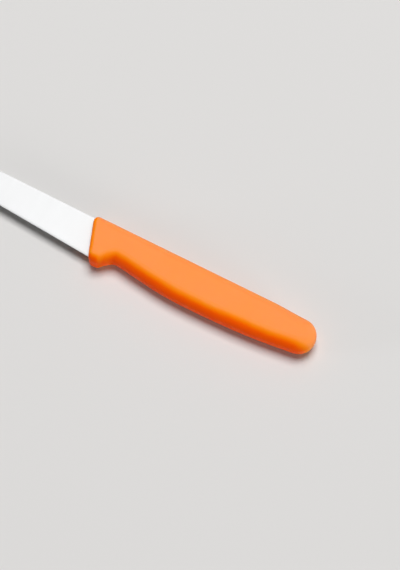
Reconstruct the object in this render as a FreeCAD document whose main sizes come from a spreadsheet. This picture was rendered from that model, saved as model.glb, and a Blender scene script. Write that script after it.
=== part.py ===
import FreeCAD, Part
import Sketcher
import math
import os

# Vegetable knife lying on its side: a stamped steel blade with its tang, and a handle moulded over the tang.
# While it is drawn, X runs from the handle's front-top corner to the butt, the handle's top line is Y = 0,
# the cutting edge is on the -Y side, and Z = 0 is the middle of the blade's thickness.

# Driving sizes in millimetres and degrees
SIZES = {
    # handle, along its length
    "handle_length": 105.0,
    "front_slant": 21.5,
    "guard_run": 3.1,
    "rise_run": 2.6,
    "neck_run": 4.1,
    "grip_run": 9.4,
    "swell_run": 12.0,
    "belly_run": 11.0,
    "butt_straight": 12.0,
    # handle, depth of its lower line: below the blade's heel, then below the handle's top line
    "front_lip": 1.9,
    "guard_lip": 1.8,
    "rise_lip": 0.15,
    "neck_depth": 14.35,
    "grip_depth": 15.45,
    "swell_depth": 16.9,
    "belly_depth": 17.4,
    "butt_radius": 7.2,
    "butt_taper": 6.9,
    # handle, across
    "handle_thick": 11.6,
    "spine_round": 3.4,
    "spine_even": 82.0,
    "nose_round": 3.8,
    "belly_round": 5.3,
    "front_round": 2.0,
    # blade
    "blade_length": 100.0,
    "blade_thick": 1.2,
    "spine_drop": 0.6,
    "spine_rise": 0.45,
    "spine_straight": 62.0,
    "tip_drop": 4.2,
    "heel_width": 16.2,
    "edge_rise": 3.9,
    "edge_straight": 70.0,
    "grind_height": 17.0,
    "grind_thick": 0.34,
    "bevel_height": 0.6,
    "edge_thick": 0.04,
    # tang, inside the handle
    "seat_depth": 2.0,
    "tang_cover": 4.2,
    "tang_width": 8.0,
    "tang_end_cover": 5.0,
    "tang_end_width": 5.2,
    "tang_corner": 1.0,
    "butt_wall": 15.0,
    "hole_run": 30.0,
    "hole_pitch": 35.0,
    "hole_size": 4.0,
}

# Length by which a cut or a first section reaches past the solid
REACH = 3.0
# Depth taken off each side of the handle's form, which leaves the sides true planes
SKIM = 0.01

# Width by which the grind's cutting shape stands clear of the blade
CLEAR = 1.0

# Middle control point's weight in a quarter arc
ARC_WEIGHT = math.sqrt(0.5)
SLANT = "tan(sizes.front_slant)"
HEEL_DEPTH = "(sizes.spine_drop + sizes.heel_width)"


def make_sheet(doc):
    """Spreadsheet with one named cell for each driving size."""
    sheet = doc.addObject("Spreadsheet::Sheet", "sizes")
    for row, (name, value) in enumerate(SIZES.items(), start=1):
        sheet.set(f"A{row}", name)
        sheet.set(f"B{row}", str(value))
        sheet.setAlias(f"B{row}", name)
    doc.recompute()
    return sheet


def new_sketch(body, name, role):
    """Empty sketch on the body's origin plane that has this role."""
    plane = next(item for item in body.Origin.OriginFeatures if item.Role == role)
    sketch = body.newObject("Sketcher::SketchObject", name)
    sketch.AttachmentSupport = [(plane, "")]
    sketch.MapMode = "FlatFace"
    return sketch


def bind(sketch, constraint, expression):
    """Add a dimension to a sketch and tie it to an expression."""
    index = sketch.addConstraint(constraint)
    sketch.setExpression(f"Constraints[{index}]", expression)


def bind_point(sketch, edge, end, corner):
    """Tie a point's two coordinates to expressions, each as its distance from the origin."""
    for kind, expression in zip(("DistanceX", "DistanceY"), corner):
        value = float(sketch.evalExpression(expression))
        if value > 0:
            bind(sketch, Sketcher.Constraint(kind, -1, 1, edge, end, value), expression)
        else:
            bind(sketch, Sketcher.Constraint(kind, edge, end, -1, 1, -value), f"-({expression})")


def point_at(sketch, corner):
    """Point whose coordinates are the values of two expressions."""
    return FreeCAD.Vector(*(float(sketch.evalExpression(expression)) for expression in corner), 0)


def add_line(sketch, start, end):
    """Straight edge between two corners, each a pair of expressions."""
    return sketch.addGeometry(Part.LineSegment(point_at(sketch, start), point_at(sketch, end)))


def join(sketch, edges):
    """Join each edge's end to the next one's start."""
    for first, second in zip(edges, edges[1:]):
        sketch.addConstraint(Sketcher.Constraint("Coincident", first, 2, second, 1))


def polygon(sketch, corners):
    """Closed chain of straight edges through corners, each a pair of expressions."""
    edges = [add_line(sketch, start, end) for start, end in zip(corners, corners[1:] + corners[:1])]
    join(sketch, edges + edges[:1])
    for edge, corner in zip(edges, corners):
        bind_point(sketch, edge, 1, corner)


def add_pad(body, name, sketch, length):
    """Pad half to each side of the sketch's plane."""
    pad = body.newObject("PartDesign::Pad", name)
    pad.Profile = sketch
    pad.Midplane = True
    pad.setExpression("Length", length)
    return pad


def add_cut_through(body, name, sketch):
    """Pocket through everything on both sides of the sketch's plane."""
    pocket = body.newObject("PartDesign::Pocket", name)
    pocket.Profile = sketch
    pocket.Midplane = True
    pocket.Type = "ThroughAll"
    return pocket


def add_fillet(body, name, base, edges, radius):
    """Fillet on the base feature's edges that are listed by index."""
    fillet = body.newObject("PartDesign::Fillet", name)
    fillet.Base = (base, [f"Edge{index + 1}" for index in edges])
    fillet.setExpression("Radius", radius)
    return fillet


def section_points(spot, depth, corner, half, turn):
    """Control points of half of the handle's cross-section, from the butt's axis out to the rim and back.

    spot is where the section meets the axis line. turn is its angle in degrees: 0 points to the
    belly side and 180 to the spine side.
    """
    angle = math.radians(turn)
    out = FreeCAD.Vector(math.sin(angle), -math.cos(angle), 0)
    up = FreeCAD.Vector(0, 0, 1)
    outline = [(0, half), (depth - corner, half), (depth, half), (depth, half - corner)]
    outline += [(reach, -height) for reach, height in reversed(outline)]
    return [spot + out * reach + up * height for reach, height in outline]


def strips(line):
    """Control points of each straight or rounded strip around half a cross-section."""
    return line[0:2], line[1:4], line[3:5], line[4:7], line[6:8], line[7:] + line[:1]


def strip_edge(points):
    """Straight edge through two points, or quarter arc whose corner is the middle one of three."""
    if len(points) == 2:
        return Part.makeLine(*points)
    curve = Part.BSplineCurve()
    curve.buildFromPolesMultsKnots(points, [3, 3], [0, 1], False, 2, [1, ARC_WEIGHT, 1])
    return curve.toShape()


def strip_surface(rails):
    """Surface between two lengthwise curves, or rounded surface over three of them."""
    across = len(rails) - 1
    weights = [1, 1] if across == 1 else [1, ARC_WEIGHT, 1]
    first = rails[0]
    poles = list(zip(*(rail.getPoles() for rail in rails)))
    surface = Part.BSplineSurface()
    surface.buildFromPolesMultsKnots(
        poles, first.getMultiplicities(), [across + 1, across + 1], first.getKnots(), [0, 1],
        False, False, first.Degree, across, [weights] * len(poles)
    )
    return surface


def rail_curve(places, points, level):
    """Smooth curve through one control point of each section, level at the flagged ones."""
    spans = [after - before for before, after in zip(places, places[1:])]
    chords = [(after - before) / span for before, after, span in zip(points, points[1:], spans)]
    slopes = [chords[0]]
    for index in range(1, len(chords)):
        share = spans[index - 1] / (spans[index - 1] + spans[index])
        slopes.append(chords[index - 1] * (1 - share) + chords[index] * share)
    slopes.append(chords[-1])
    slopes = [FreeCAD.Vector(1, 0, 0) if flag else slope for slope, flag in zip(slopes, level)]
    poles = [points[0]]
    for index, span in enumerate(spans):
        poles.append(points[index] + slopes[index] * (span / 3))
        poles.append(points[index + 1] - slopes[index + 1] * (span / 3))
    poles.append(points[-1])
    curve = Part.BSplineCurve()
    knot_counts = [4] + [2] * (len(places) - 2) + [4]
    curve.buildFromPolesMultsKnots(poles, knot_counts, places, False, 3)
    return curve


def side_solid(places, sections, level, breaks):
    """Smooth solid through a row of half sections that stand at these places along the handle.

    level has one flag for each section: its outline runs level with the handle's top line there.
    Each lengthwise strip is divided into faces at the breaks, which are some of the places.
    """
    rails = [rail_curve(places, points, level) for points in zip(*sections)]
    faces = [section_face(section) for section in (sections[0], sections[-1])]
    for strip in strips(rails):
        surface = strip_surface(strip)
        for start, end in zip(breaks, breaks[1:]):
            part = surface.copy()
            part.segment(start, end, 0, 1)
            faces.append(part.toShape())
    shell = Part.makeShell(faces)
    shell.sewShape()
    solid = Part.makeSolid(shell)
    if solid.Volume < 0:
        solid.reverse()
    return solid


def section_face(section):
    """Flat face over half a cross-section."""
    return Part.Face(Part.Wire([strip_edge(strip) for strip in strips(section)]))


def belly_side(sheet, butt):
    """Belly side of the handle: the guard, the neck, the swell and the straight taper to the butt's axis."""
    half = sheet.handle_thick / 2 + SKIM
    radius = sheet.butt_radius
    taper = math.radians(sheet.butt_taper)
    heel = sheet.spine_drop + sheet.heel_width
    corner = heel + sheet.front_lip
    place = corner * math.tan(math.radians(sheet.front_slant))
    stations = [("front", -REACH, sheet.neck_depth), ("corner", place, corner)]
    depths = {"guard": heel + sheet.guard_lip, "rise": heel + sheet.rise_lip}
    for name in ("neck", "grip", "swell", "belly"):
        depths[name] = getattr(sheet, f"{name}_depth")
    for name, depth in depths.items():
        place += getattr(sheet, f"{name}_run")
        stations.append((name, place, depth))
    tangent_depth = radius + (radius + sheet.butt_straight * math.sin(taper)) / math.cos(taper)
    stations.append(("straight", butt.x - sheet.butt_straight, tangent_depth))

    sections = []
    for name, place, depth in stations:
        spot = FreeCAD.Vector(place, -radius, 0)
        corner_round = sheet.nose_round if name in ("front", "corner", "guard") else sheet.belly_round
        sections.append(section_points(spot, depth - radius, corner_round, half, 0))
    sections.append(section_points(butt, radius, sheet.belly_round, half, sheet.butt_taper))
    places = [place for name, place, depth in stations] + [butt.x + radius * math.sin(taper)]
    level = [name in ("front", "guard", "neck", "belly") for name, place, depth in stations] + [False]
    # The corner's rim lies in the front plane, so no face ends there
    breaks = places[:1] + places[2:]
    return side_solid(places, sections, level, breaks)


def spine_side(sheet, butt):
    """Spine side of the handle: straight, with an even rounding that grows into the butt's."""
    half = sheet.handle_thick / 2 + SKIM
    places = [-REACH, sheet.spine_even, butt.x]
    rounds = [sheet.spine_round, sheet.spine_round, sheet.belly_round]
    sections = []
    for place, corner in zip(places, rounds):
        spot = FreeCAD.Vector(place, butt.y, 0)
        sections.append(section_points(spot, sheet.butt_radius, corner, half, 180))
    return side_solid(places, sections, [True, True, True], places)


def round_butt(sheet, butt):
    """Round end of the handle: the half section turned about the butt's axis, from the spine to the belly."""
    half = sheet.handle_thick / 2 + SKIM
    section = section_points(butt, sheet.butt_radius, sheet.belly_round, half, 180)
    return section_face(section).revolve(butt, FreeCAD.Vector(0, 0, -1), 180 - sheet.butt_taper)


def make_handle_blank(doc, sheet):
    """Handle before its front is cut: a belly side, a spine side and a round butt in one solid."""
    butt = FreeCAD.Vector(sheet.handle_length - sheet.butt_radius, -sheet.butt_radius, 0)
    blank = doc.addObject("Part::Feature", "handle_blank")
    blank.Shape = belly_side(sheet, butt).fuse([spine_side(sheet, butt), round_butt(sheet, butt)])
    return blank


def front_cut_sketch(body):
    """Outline of what the slanted front plane cuts away."""
    sketch = new_sketch(body, "front_cut_outline", "XY_Plane")
    far = f"-{2 * REACH}"
    low = f"({HEEL_DEPTH} + sizes.guard_lip + {REACH})"
    polygon(sketch, [
        (f"-{REACH} * {SLANT}", f"{REACH}"),
        (far, f"{REACH}"),
        (far, f"-{low}"),
        (f"{low} * {SLANT}", f"-{low}"),
    ])
    return sketch


def side_skim_sketch(body):
    """Two strips that leave the handle's two sides flat and handle_thick apart."""
    sketch = new_sketch(body, "side_strips", "XZ_Plane")
    start = f"-{2 * REACH}"
    end = f"sizes.handle_length + {REACH}"
    for side in ("", "-"):
        inner = f"{side}sizes.handle_thick / 2"
        outer = f"{side}(sizes.handle_thick / 2 + {REACH})"
        polygon(sketch, [(start, inner), (end, inner), (end, outer), (start, outer)])
    return sketch


def edges_on_front(shape):
    """Indexes of the edges that lie in the slanted front plane."""
    slant = math.radians(SIZES["front_slant"])
    normal = FreeCAD.Vector(math.cos(slant), math.sin(slant), 0)
    found = []
    for index, edge in enumerate(shape.Edges):
        first, last = edge.ParameterRange
        points = [edge.valueAt(first + (last - first) * part) for part in (0, 0.5, 1)]
        if all(abs(point.dot(normal)) < 1e-4 for point in points):
            found.append(index)
    return found


def make_handle_form(doc, blank):
    """The handle's outer form: the blank with its slanted front, rounded front edge and flat sides."""
    body = doc.addObject("PartDesign::Body", "handle_form")
    body.BaseFeature = blank
    cut = add_cut_through(body, "front_cut", front_cut_sketch(body))
    doc.recompute()
    add_fillet(body, "front_edge", cut, edges_on_front(cut.Shape), "sizes.front_round")
    add_cut_through(body, "side_skim", side_skim_sketch(body))
    doc.recompute()
    return body


def add_arc(sketch, start, end, line_end):
    """Anticlockwise arc between two corners, with the bend of one that is tangent to the line from line_end."""
    start, end, line_end = (point_at(sketch, corner) for corner in (start, end, line_end))
    chord = end - start
    near = start if (line_end - start).Length < (line_end - end).Length else end
    bend = math.sin((near - line_end).getAngle(chord))
    left = FreeCAD.Vector(-chord.y, chord.x, 0).normalize()
    radius = chord.Length / 2 / bend
    centre = start + chord / 2 + left * math.sqrt(radius ** 2 - (chord.Length / 2) ** 2)
    circle = Part.Circle(centre, FreeCAD.Vector(0, 0, 1), radius)
    turns = [math.atan2(point.y - centre.y, point.x - centre.x) for point in (start, end)]
    return sketch.addGeometry(Part.ArcOfCircle(circle, *turns))


def shoulder_point(depth):
    """Corner on the shoulder, which stands seat_depth behind the handle's front and is parallel to it."""
    return f"sizes.seat_depth + {depth} * {SLANT}", f"-{depth}"


def blade_outline(body):
    """Outline of the blade and its tang, flat on Z = 0."""
    sketch = new_sketch(body, "outline", "XY_Plane")
    root = shoulder_point("sizes.spine_drop")
    heel = shoulder_point(HEEL_DEPTH)
    tang_top = shoulder_point("sizes.tang_cover")
    tang_low = shoulder_point("(sizes.tang_cover + sizes.tang_width)")
    tang_end = "sizes.handle_length - sizes.butt_wall"
    end_low = (tang_end, "-(sizes.tang_end_cover + sizes.tang_end_width)")
    end_top = (tang_end, "-sizes.tang_end_cover")
    rise = f"(sizes.spine_straight + {root[0]}) * tan(sizes.spine_rise)"
    spine_end = ("-sizes.spine_straight", f"{root[1]} + {rise}")
    tip = ("-sizes.blade_length", "-sizes.tip_drop")
    rise = f"(sizes.edge_straight + {heel[0]}) * tan(sizes.edge_rise)"
    edge_end = ("-sizes.edge_straight", f"{heel[1]} + {rise}")

    spine = add_line(sketch, root, spine_end)
    spine_curve = add_arc(sketch, spine_end, tip, root)
    edge_curve = add_arc(sketch, tip, edge_end, heel)
    edge = add_line(sketch, edge_end, heel)
    ring = [heel, tang_low, end_low, end_top, tang_top, root]
    inside = [add_line(sketch, start, end) for start, end in zip(ring, ring[1:])]

    sketch.addConstraint(Sketcher.Constraint("Tangent", spine, 2, spine_curve, 1))
    sketch.addConstraint(Sketcher.Constraint("Tangent", edge_curve, 2, edge, 1))
    join(sketch, [spine_curve, edge_curve])
    join(sketch, [edge] + inside + [spine])
    for line, corner in zip([spine, edge_curve, edge] + inside, [root, tip, edge_end] + ring):
        bind_point(sketch, line, 1, corner)
    bind_point(sketch, spine, 2, spine_end)
    return sketch


def tang_corners(sheet, shape):
    """Indexes of the upright edges at the tang's four corners."""
    low = -(sheet.tang_cover + sheet.tang_width)
    found = []
    for index, edge in enumerate(shape.Edges):
        start, end = edge.firstVertex().Point, edge.lastVertex().Point
        upright = abs(start.x - end.x) + abs(start.y - end.y) < 1e-6
        if upright and start.x > 0 and low - 1e-6 < start.y < -sheet.tang_cover + 1e-6:
            found.append(index)
    return found


def lock_holes(body):
    """Two round holes in the tang, which the handle's plastic fills."""
    sketch = new_sketch(body, "lock_holes", "XY_Plane")
    for along in ("sizes.hole_run", "sizes.hole_run + sizes.hole_pitch"):
        centre = (along, "-(sizes.tang_cover + sizes.tang_width / 2)")
        circle = Part.Circle(point_at(sketch, centre), FreeCAD.Vector(0, 0, 1), 1)
        hole = sketch.addGeometry(circle)
        bind_point(sketch, hole, 3, centre)
        bind(sketch, Sketcher.Constraint("Diameter", hole, 2), "sizes.hole_size")
    return sketch


def grind_profile(body, side):
    """What the grind takes off one side, seen along the edge: a thin wedge with a steeper bevel at the edge."""
    sketch = new_sketch(body, "grind_above" if side > 0 else "grind_below", "YZ_Plane")
    heel = shoulder_point(HEEL_DEPTH)
    sketch.AttachmentOffset = FreeCAD.Placement(FreeCAD.Vector(), FreeCAD.Rotation(FreeCAD.Vector(0, 1, 0), -10))
    sketch.setExpression("AttachmentOffset.Rotation.Angle", "-sizes.edge_rise")
    sketch.setExpression("AttachmentOffset.Base.x", heel[1])
    sketch.setExpression("AttachmentOffset.Base.z", heel[0])
    sign = "" if side > 0 else "-"
    outside = f"{sign}(sizes.blade_thick / 2 + {CLEAR})"
    polygon(sketch, [
        (f"-{CLEAR}", f"{sign}sizes.edge_thick / 2"),
        ("0", f"{sign}sizes.edge_thick / 2"),
        ("sizes.bevel_height", f"{sign}sizes.grind_thick / 2"),
        ("sizes.grind_height", f"{sign}sizes.blade_thick / 2"),
        ("sizes.grind_height", outside),
        (f"-{CLEAR}", outside),
    ])
    return sketch


def make_blade(doc, sheet):
    """The blade and its tang: stamped from strip, then ground on both sides from the spine to the edge."""
    body = doc.addObject("PartDesign::Body", "blade")
    outline = blade_outline(body)
    strip = add_pad(body, "strip", outline, "sizes.blade_thick")
    doc.recompute()
    add_fillet(body, "tang_corners", strip, tang_corners(sheet, strip.Shape), "sizes.tang_corner")
    add_cut_through(body, "holes", lock_holes(body))
    for side in (1, -1):
        grind = body.newObject("PartDesign::SubtractivePipe", "grind")
        grind.Profile = grind_profile(body, side)
        grind.Spine = (outline, ["Edge4", "Edge3"])
        doc.recompute()
    return body


def main():
    doc = FreeCAD.newDocument("vegetable_knife")
    sheet = make_sheet(doc)
    blade = make_blade(doc, sheet)
    form = make_handle_form(doc, make_handle_blank(doc, sheet))

    # The knife is centred over its box, with its lower side at Z = 0
    box = Part.makeCompound([blade.Shape, form.Shape]).optimalBoundingBox(False)
    place = FreeCAD.Placement(FreeCAD.Vector(-box.Center.x, -box.Center.y, -box.ZMin), FreeCAD.Rotation())
    blade.Placement = place
    form.Placement = place
    handle = doc.addObject("Part::Cut", "handle")
    handle.Base = form
    handle.Tool = blade
    doc.recompute()

    for item in doc.Objects:
        if "Invalid" in item.State or "Error" in item.State:
            raise RuntimeError(f"{item.Name} failed: {item.State}")
    os.makedirs("parts", exist_ok=True)
    for part in (blade, handle):
        shape = part.Shape
        if shape.isNull() or not shape.isValid() or len(shape.Solids) != 1:
            raise RuntimeError(f"{part.Label} is not one valid solid")
        shape.exportStep(f"parts/{part.Label}.step")


main()
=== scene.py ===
# %% [markdown]
# # A vegetable knife in orange and steel
#
# This lesson dresses a small kitchen knife that was first drawn as measured solids. The knife has
# two pieces: a thin steel blade with its tang, and a plastic handle moulded over the tang.
# The solids already have their true shape, so nothing is moved here. What is left is what the eye
# reads: the light, the camera, the moulded plastic and the ground steel.

# %% Load the measured knife
import bpy
import math
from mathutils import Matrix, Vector


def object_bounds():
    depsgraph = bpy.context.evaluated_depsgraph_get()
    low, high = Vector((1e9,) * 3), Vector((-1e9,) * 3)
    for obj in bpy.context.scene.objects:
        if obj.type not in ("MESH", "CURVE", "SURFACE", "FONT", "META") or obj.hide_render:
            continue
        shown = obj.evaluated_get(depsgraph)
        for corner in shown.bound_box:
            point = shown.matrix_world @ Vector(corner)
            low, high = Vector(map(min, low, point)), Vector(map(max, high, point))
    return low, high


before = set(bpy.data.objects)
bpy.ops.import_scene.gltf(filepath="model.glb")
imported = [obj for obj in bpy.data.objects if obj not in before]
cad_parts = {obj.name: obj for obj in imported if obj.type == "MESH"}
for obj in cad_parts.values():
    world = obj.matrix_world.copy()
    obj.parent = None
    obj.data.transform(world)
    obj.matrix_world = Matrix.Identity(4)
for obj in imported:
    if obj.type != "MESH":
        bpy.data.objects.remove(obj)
cad_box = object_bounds()
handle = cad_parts["handle"]
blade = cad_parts["blade"]
cad_size = [round((high - low) * 1000, 1) for low, high in zip(*cad_box)]
print("knife measures", cad_size, "mm")

# %% [markdown]
# ## The camera
#
# The knife lies on its side and is seen from above, a little from the side of its cutting edge.
# A camera could be placed by eye, but the handle's outline is long and clear, so its place was
# worked out instead: the straight back of the handle gives the turn, and the visible depth of the
# belly side gives the height. A long lens from 60 cm keeps the handle's two ends nearly the same
# size.

# %% Place the camera
def direction(turn, height):
    """Direction from the knife, by two angles in degrees.

    The first turns from the cutting edge's side towards the butt, the second rises from the floor.
    """
    turn, height = math.radians(turn), math.radians(height)
    flat = math.cos(height)
    return Vector((math.sin(turn) * flat, -math.cos(turn) * flat, math.sin(height)))


mid_thickness = 0.0058
aim = Vector((0.0500, 0.0031, mid_thickness))
camera_distance = 0.6
towards_camera = direction(turn=27.97, height=68)
camera = bpy.data.objects.new("camera", bpy.data.cameras.new("camera"))
bpy.context.scene.collection.objects.link(camera)
bpy.context.scene.camera = camera
camera.location = aim + towards_camera * camera_distance
camera.rotation_euler = (-towards_camera).to_track_quat("-Z", "Y").to_euler()
camera.data.sensor_width = 36
camera.data.lens = 93.15
camera.data.clip_start = 0.01
camera.data.clip_end = 50
print("camera at", [round(v, 3) for v in camera.location])

# %% [markdown]
# ## The floor
#
# The knife lies on a pale, dull surface. A box or a curved backdrop could carry it too, but both
# show their edges in low views. A plain disc that is a good deal wider than the picture only shows
# a faint horizon there. Its colour is written about as it should look, because the lamps are set
# so that a colour comes out nearly as written.

# %% Lay the floor
floor_radius = 1.6
floor_gap = 0.00002
floor_colour = (0.68, 0.67, 0.66, 1)
bpy.ops.mesh.primitive_circle_add(
    vertices=96, radius=floor_radius, fill_type="NGON", location=(0, 0, -floor_gap)
)
floor = bpy.context.object
floor.name = "floor"
floor_paint = bpy.data.materials.new("floor_paint")
floor_paint.use_nodes = True
floor_shader = floor_paint.node_tree.nodes["Principled BSDF"]
floor_shader.inputs["Roughness"].default_value = 0.9
floor_shader.inputs["Specular IOR Level"].default_value = 0.1
floor_shader.inputs["Base Color"].default_value = floor_colour
floor.data.materials.append(floor_paint)
print("floor", floor_radius * 2, "m across in", floor_colour[:3])

# %% [markdown]
# ## The light
#
# The lamps hang four metres away, so that the floor is lit evenly far around the knife.
# A soft one hangs high behind the knife's back. The flat blade mirrors it towards the camera,
# which makes the steel nearly white, while the belly side of the handle falls into its own shade
# and throws a short shadow. One lamp alone would leave the rounded ends dull, and an even dome of
# light would take the shade away. So two weaker lamps stand low on the cutting edge's side
# instead, one beyond the butt and one beyond the guard. A faint one behind draws the line of light
# along the handle's back. None is seen by the camera itself.

# %% Hang the lamps
lamp_distance = 4.0


def hang_lamp(name, turn, height, size, energy):
    """Square soft lamp that shines on the knife from this direction. Its size is in metres."""
    lamp = bpy.data.objects.new(name, bpy.data.lights.new(name, "AREA"))
    bpy.context.scene.collection.objects.link(lamp)
    towards = direction(turn, height)
    lamp.location = aim + towards * lamp_distance
    lamp.rotation_euler = (-towards).to_track_quat("-Z", "Y").to_euler()
    lamp.data.size = size
    lamp.data.energy = energy
    lamp.visible_camera = False
    print(name, "at", [round(v, 2) for v in lamp.location], "with", energy, "W")


hang_lamp("soft_lamp", turn=190, height=75, size=2.1, energy=166)
hang_lamp("low_lamp", turn=74, height=9, size=1.0, energy=66)
hang_lamp("back_lamp", turn=190, height=40, size=1.3, energy=2.5)
hang_lamp("front_lamp", turn=305, height=9, size=1.0, energy=28)

# %% [markdown]
# ## Joining nodes
#
# From here on everything is made of nodes: the room, the grain, the wear and the two materials.
# Each node could be made, set and linked by hand, but the same few lines would come back over and
# over and hide what matters. So three small helpers take them. One feeds a socket, from another
# node or with a plain value. The other two work out a number, or something from two vectors.

# %% Write the helpers for nodes
def feed(tree, socket, value):
    """Link the socket to another node's output, or write a plain value on it."""
    if isinstance(value, bpy.types.NodeSocket):
        tree.links.new(value, socket)
    else:
        socket.default_value = value


def calculate(tree, operation, *values):
    """Output of a Math node that works on these values."""
    node = tree.nodes.new("ShaderNodeMath")
    node.operation = operation
    for socket, value in zip(node.inputs, values):
        feed(tree, socket, value)
    return node.outputs[0]


def calculate_vector(tree, operation, first, second):
    """Vector Math node that works on these two vectors."""
    node = tree.nodes.new("ShaderNodeVectorMath")
    node.operation = operation
    feed(tree, node.inputs[0], first)
    feed(tree, node.inputs[1], second)
    return node


print("helpers for nodes:", feed.__name__, calculate.__name__, calculate_vector.__name__)

# %% [markdown]
# ## The room
#
# Steel mirrors whatever stands around it, and in a kitchen that is mostly pale wall. A pale room
# would also light the knife's shaded side and wash it out, and white cards around the knife would
# be seen in low views. Blender can tell the rays apart instead. Those that the eye follows,
# straight, in gloss or through glass, find a pale room, and those that only carry light find a
# dim one.

# %% Light the room
dim_room = 0.03
pale_room = 0.70


def seen_rays(tree):
    """Output that is 1 for the camera's rays, and for those that it sees in gloss or glass."""
    rays = tree.nodes.new("ShaderNodeLightPath").outputs
    mirrored = calculate(tree, "MAXIMUM", rays["Is Glossy Ray"], rays["Is Transmission Ray"])
    return calculate(tree, "MAXIMUM", rays["Is Camera Ray"], mirrored)


world = bpy.data.worlds.new("room")
bpy.context.scene.world = world
world.use_nodes = True
room = world.node_tree
room.nodes.clear()
strength = room.nodes.new("ShaderNodeMapRange")
strength.inputs["To Min"].default_value = dim_room
strength.inputs["To Max"].default_value = pale_room
feed(room, strength.inputs["Value"], seen_rays(room))
backdrop = room.nodes.new("ShaderNodeBackground")
backdrop.inputs["Color"].default_value = (1, 1, 1, 1)
feed(room, backdrop.inputs["Strength"], strength.outputs["Result"])
room_output = room.nodes.new("ShaderNodeOutputWorld")
feed(room, room_output.inputs["Surface"], backdrop.outputs[0])
bpy.context.scene.view_settings.view_transform = "Standard"
print("room from", dim_room, "to", pale_room)

# %% [markdown]
# ## Grain
#
# Such pieces are never quite smooth. A mould's spark-cut walls print a very fine texture on the
# plastic, and a grinding wheel leaves lines on the steel. Both are too fine for the photograph, so
# their size is a typical one. Pictures of such surfaces would repeat and would blur from close by.
# Both are really one effect at two scales: a noise that is round on the plastic and drawn out
# across the blade. So it is built once as a node group, and each material gives it only its own
# size and stretch. It also gives slow patches, for the small changes of tone that any real surface
# has.

# %% Build the grain group
def new_group(name, inputs, outputs):
    """Shader node group with these sockets. Returns its tree and its input and output nodes."""
    tree = bpy.data.node_groups.new(name, "ShaderNodeTree")
    for in_out, sockets in (("INPUT", inputs), ("OUTPUT", outputs)):
        for socket, kind in sockets:
            tree.interface.new_socket(socket, in_out=in_out, socket_type=kind)
    return tree, tree.nodes.new("NodeGroupInput"), tree.nodes.new("NodeGroupOutput")


grain_group, given, result = new_group(
    "grain",
    [
        ("Place", "NodeSocketVector"),
        ("Stretch", "NodeSocketVector"),
        ("Grains per Metre", "NodeSocketFloat"),
        ("Patches per Metre", "NodeSocketFloat"),
    ],
    [("Grain", "NodeSocketFloat"), ("Patches", "NodeSocketFloat")],
)
fine_detail = 4
slow_detail = 2
drawn_out = calculate_vector(
    grain_group, "MULTIPLY", given.outputs["Place"], given.outputs["Stretch"]
)
for place, density, detail, socket in (
    (drawn_out.outputs["Vector"], "Grains per Metre", fine_detail, "Grain"),
    (given.outputs["Place"], "Patches per Metre", slow_detail, "Patches"),
):
    noise = grain_group.nodes.new("ShaderNodeTexNoise")
    noise.inputs["Detail"].default_value = detail
    feed(grain_group, noise.inputs["Vector"], place)
    feed(grain_group, noise.inputs["Scale"], given.outputs[density])
    feed(grain_group, result.inputs[socket], noise.outputs["Fac"])
print("grain group with", len(grain_group.nodes), "nodes")

# %% [markdown]
# ## Wear along the edges
#
# Hands and cloths rub the edges of such pieces first. That takes the chalky bloom off plastic and
# brightens steel. The photograph shows no clear wear, so it is kept faint. Painting a mask by hand
# would have to be done again for every change of shape. A Bevel node rounds the edges in thought
# only: where its rounded normal differs from the true one, there is an edge. A little noise breaks
# the mask up, because wear is never even.

# %% Build the edge wear group
wear_group, given, result = new_group(
    "edge_wear",
    [("Width", "NodeSocketFloat"), ("Breakup", "NodeSocketFloat")],
    [("Wear", "NodeSocketFloat")],
)
no_edge = 1.0
full_edge = 0.9
rounded = wear_group.nodes.new("ShaderNodeBevel")
rounded.samples = 6
feed(wear_group, rounded.inputs["Radius"], given.outputs["Width"])
true_surface = wear_group.nodes.new("ShaderNodeNewGeometry")
alike = calculate_vector(
    wear_group, "DOT_PRODUCT", rounded.outputs["Normal"], true_surface.outputs["Normal"]
)
edge = wear_group.nodes.new("ShaderNodeMapRange")
edge.inputs["From Min"].default_value = no_edge
edge.inputs["From Max"].default_value = full_edge
feed(wear_group, edge.inputs["Value"], alike.outputs["Value"])
worn = calculate(wear_group, "MULTIPLY", edge.outputs["Result"], given.outputs["Breakup"])
feed(wear_group, result.inputs["Wear"], worn)
print("edge wear group with", len(wear_group.nodes), "nodes")

# %% [markdown]
# ## Placing the groups
#
# Both materials start the same way: an emptied tree with one shader, and the two groups fed from
# the piece's own coordinates. That could be written out twice, but then the real differences would
# be hard to find. So the helpers below take the steps that both share, and what differs between
# plastic and steel stays in view in each material's own cells.

# %% Write the helpers for a material
def start_material(piece):
    """The piece's material with an emptied tree: its tree and its shader."""
    material = piece.material_slots[0].material
    material.use_nodes = True
    tree = material.node_tree
    tree.nodes.clear()
    shader = tree.nodes.new("ShaderNodeBsdfPrincipled")
    output = tree.nodes.new("ShaderNodeOutputMaterial")
    feed(tree, output.inputs["Surface"], shader.outputs[0])
    return tree, shader


def place_group(tree, group, values):
    """Group placed in a material's tree, with its own values and links."""
    node = tree.nodes.new("ShaderNodeGroup")
    node.node_tree = group
    for socket, value in values.items():
        feed(tree, node.inputs[socket], value)
    return node


def spread(tree, value, low, high):
    """Value from 0 to 1 spread between two numbers."""
    node = tree.nodes.new("ShaderNodeMapRange")
    node.inputs["To Min"].default_value = low
    node.inputs["To Max"].default_value = high
    feed(tree, node.inputs["Value"], value)
    return node.outputs["Result"]


def mix_colours(tree, factor, first, second):
    """Colour between two colours, each a plain one or another node's output."""
    node = tree.nodes.new("ShaderNodeMix")
    node.data_type = "RGBA"
    for socket, value in (("Factor", factor), ("A", first), ("B", second)):
        feed(tree, node.inputs[socket], value)
    return node.outputs["Result"]


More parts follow.
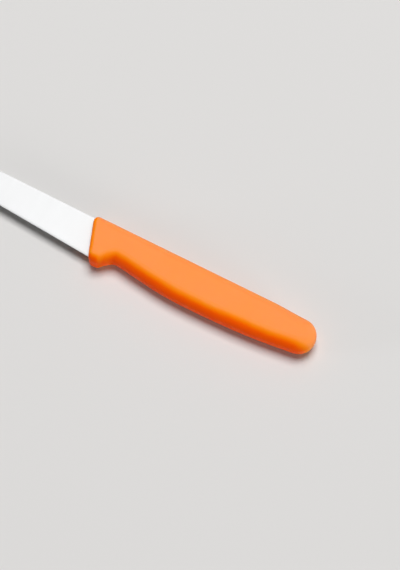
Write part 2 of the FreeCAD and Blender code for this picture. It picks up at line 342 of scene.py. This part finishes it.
def add_bump(tree, shader, height, depth):
    """Bump on the shader from a height between 0 and 1, this many metres deep."""
    bump = tree.nodes.new("ShaderNodeBump")
    bump.inputs["Distance"].default_value = depth
    feed(tree, bump.inputs["Height"], height)
    feed(tree, shader.inputs["Normal"], bump.outputs["Normal"])


print("materials to fill:", [piece.material_slots[0].material.name for piece in (handle, blade)])

# %% [markdown]
# ## The plastic
#
# The handle is one moulding of orange plastic, most likely polypropylene. Light goes a few
# millimetres into such plastic and comes out redder, which keeps the shaded side glowing. A
# lighter paint could imitate that, but it would look flat, so the shader gets some light under the
# surface. The flat side looks chalky in the photograph, so the plastic has hardly any gloss.

# %% Start the plastic
plastic_roughness = (0.34, 0.46)

tree, plastic = start_material(handle)
place = tree.nodes.new("ShaderNodeTexCoord")
grain = place_group(tree, grain_group, {
    "Place": place.outputs["Object"],
    "Stretch": (1, 1, 1),
    "Grains per Metre": 2400,
    "Patches per Metre": 45,
})
wear = place_group(tree, wear_group, {"Width": 0.0010, "Breakup": grain.outputs["Patches"]})
roughness = spread(tree, grain.outputs["Grain"], *plastic_roughness)
feed(tree, plastic.inputs["Roughness"], roughness)
plastic.inputs["Specular IOR Level"].default_value = 0.05
plastic.inputs["Specular Tint"].default_value = (1.0, 0.7, 0.2, 1)
plastic.inputs["Subsurface Weight"].default_value = 0.35
plastic.inputs["Subsurface Radius"].default_value = (1.0, 0.2, 0.05)
plastic.inputs["Subsurface Scale"].default_value = 0.004
print("plastic started on", handle.name, "with", len(tree.nodes), "nodes")

# %% [markdown]
# ## Painted shade on the belly and front
#
# The belly side and the front are a much deeper orange than the flat side, and that is mostly
# shade. Some of that is shade, and some may be wear where fingers close around the handle. One
# picture can't tell the two apart. With one even colour, the lamps above leave both sides too pale,
# so the rest of the depth is painted shade written into the colour, and under other light these
# sides stay deeper too. That is a guess about the real plastic, and under other light these sides
# stay deeper too. The flat side's paler tone stands partly for a painted sheen of the lamp above.
# The shade could be painted on as a map, but the way the surface faces already tells the sides
# apart, and it follows every rounding by itself. The belly side goes all the way to the deepest
# painted shade, and the front only about halfway. The back isn't seen from the camera and keeps the
# flat side's tone. Slow patches keep the change from being too even.

# %% Find the sides where shade is painted
belly_shade_direction = (-0.1, -1, 0)
front_shade_direction = (-1.2, 0, 0)
belly_shade_limit = 1.0
front_shade_limit = 0.52
patch_change = 0.14

# Painted shade: how far each point faces the belly side or the front.
shade_facing = []
for side, limit in ((belly_shade_direction, belly_shade_limit), (front_shade_direction, front_shade_limit)):
    faced = calculate_vector(tree, "DOT_PRODUCT", place.outputs["Normal"], side)
    shade_facing.append(calculate(tree, "MINIMUM", faced.outputs["Value"], limit))
painted_shade = calculate(tree, "MAXIMUM", *shade_facing)
patches = spread(tree, grain.outputs["Patches"], -patch_change, patch_change)
painted_shade = calculate(tree, "ADD", painted_shade, patches)
print("deeper sides face", belly_shade_direction, "and", front_shade_direction)

# %% Colour the plastic from painted sheen to painted shade
# The first, pale stop is partly a painted sheen of the lamp above; the deeper stops are painted
# shade.
sheen_and_shade_tones = [
    (0.00, (0.97, 0.298, 0.08)),
    (0.27, (0.99, 0.3, 0.057)),
    (0.42, (1.0, 0.258, 0.01)),
    (0.56, (1.0, 0.205, 0.001)),
    (0.74, (1.0, 0.11, 0.0005)),
    (0.95, (1.0, 0.09, 0.0003)),
]
worn_plastic = (1.0, 0.24, 0.02, 1)
most_worn_plastic = 0.2

sheen_and_shade_ramp = tree.nodes.new("ShaderNodeValToRGB")
stops = sheen_and_shade_ramp.color_ramp.elements
while len(stops) < len(sheen_and_shade_tones):
    stops.new(0.5)
for stop, (at, paint) in zip(stops, sheen_and_shade_tones):
    stop.position = at
    stop.color = paint + (1,)
# The way each point faces picks its painted shade from the ramp.
feed(tree, sheen_and_shade_ramp.inputs["Fac"], painted_shade)
share = spread(tree, wear.outputs["Wear"], 0.0, most_worn_plastic)
feed(
    tree, plastic.inputs["Base Color"],
    mix_colours(tree, share, sheen_and_shade_ramp.outputs["Color"], worn_plastic),
)
print("plastic in", len(sheen_and_shade_tones), "sheen_and_shade_tones")

# %% [markdown]
# ## The parting line
#
# A handle like this comes from a mould in two halves, which meet at mid-thickness and leave a very
# fine raised line. The photograph is too coarse to show it, so it is a typical one. It could be cut
# as geometry, but it is thinner than a sheet of paper and would only make the mesh heavy. So it is
# a bump, worked out from each point's distance from the middle, and the plastic's grain lies on
# top of it.

# %% Raise the parting line and the grain
parting_width = 0.00012
grain_share = 0.35
plastic_relief = 0.00003

spot = tree.nodes.new("ShaderNodeSeparateXYZ")
feed(tree, spot.inputs[0], place.outputs["Object"])
from_middle = calculate(tree, "SUBTRACT", spot.outputs["Z"], mid_thickness)
parting_line = tree.nodes.new("ShaderNodeMapRange")
parting_line.interpolation_type = "SMOOTHSTEP"
parting_line.inputs["From Max"].default_value = parting_width
parting_line.inputs["To Min"].default_value = 1
parting_line.inputs["To Max"].default_value = 0
feed(tree, parting_line.inputs["Value"], calculate(tree, "ABSOLUTE", from_middle))
relief = calculate(
    tree, "MULTIPLY_ADD", grain.outputs["Grain"], grain_share, parting_line.outputs["Result"]
)
add_bump(tree, plastic, relief, plastic_relief)
print("plastic on", handle.name, "with", len(tree.nodes), "nodes")

# %% [markdown]
# ## The steel
#
# Such a blade is ground on a wheel from the spine to the edge, so fine lines run straight across
# it, and they spread each highlight along the blade. The photograph shows the steel almost white,
# too bright for any lines, so they are an assumption. A mirror finish would be simpler, but it
# would show the lamp's outline. The lines also change the tone and the roughness a little, and the
# sharp edges are honed brighter.

# %% Grind the blade's steel
darker_line = (0.425, 0.427, 0.429, 1)
lighter_line = (0.475, 0.477, 0.479, 1)
honed_edge = (0.75, 0.75, 0.75, 1)
most_honed = 0.5
steel_roughness = (0.58, 0.68)
steel_relief = 0.00001

tree, steel = start_material(blade)
place = tree.nodes.new("ShaderNodeTexCoord")
lines = place_group(tree, grain_group, {
    "Place": place.outputs["Object"],
    "Stretch": (1, 0.02, 0.02),
    "Grains per Metre": 2600,
    "Patches per Metre": 30,
})
wear = place_group(tree, wear_group, {"Width": 0.0002, "Breakup": lines.outputs["Patches"]})
ground = mix_colours(tree, lines.outputs["Grain"], darker_line, lighter_line)
share = spread(tree, wear.outputs["Wear"], 0.0, most_honed)
feed(tree, steel.inputs["Base Color"], mix_colours(tree, share, ground, honed_edge))
roughness = spread(tree, lines.outputs["Grain"], *steel_roughness)
feed(tree, steel.inputs["Roughness"], roughness)
steel.inputs["Metallic"].default_value = 1
add_bump(tree, steel, lines.outputs["Grain"], steel_relief)
print("steel on", blade.name, "with", len(tree.nodes), "nodes")
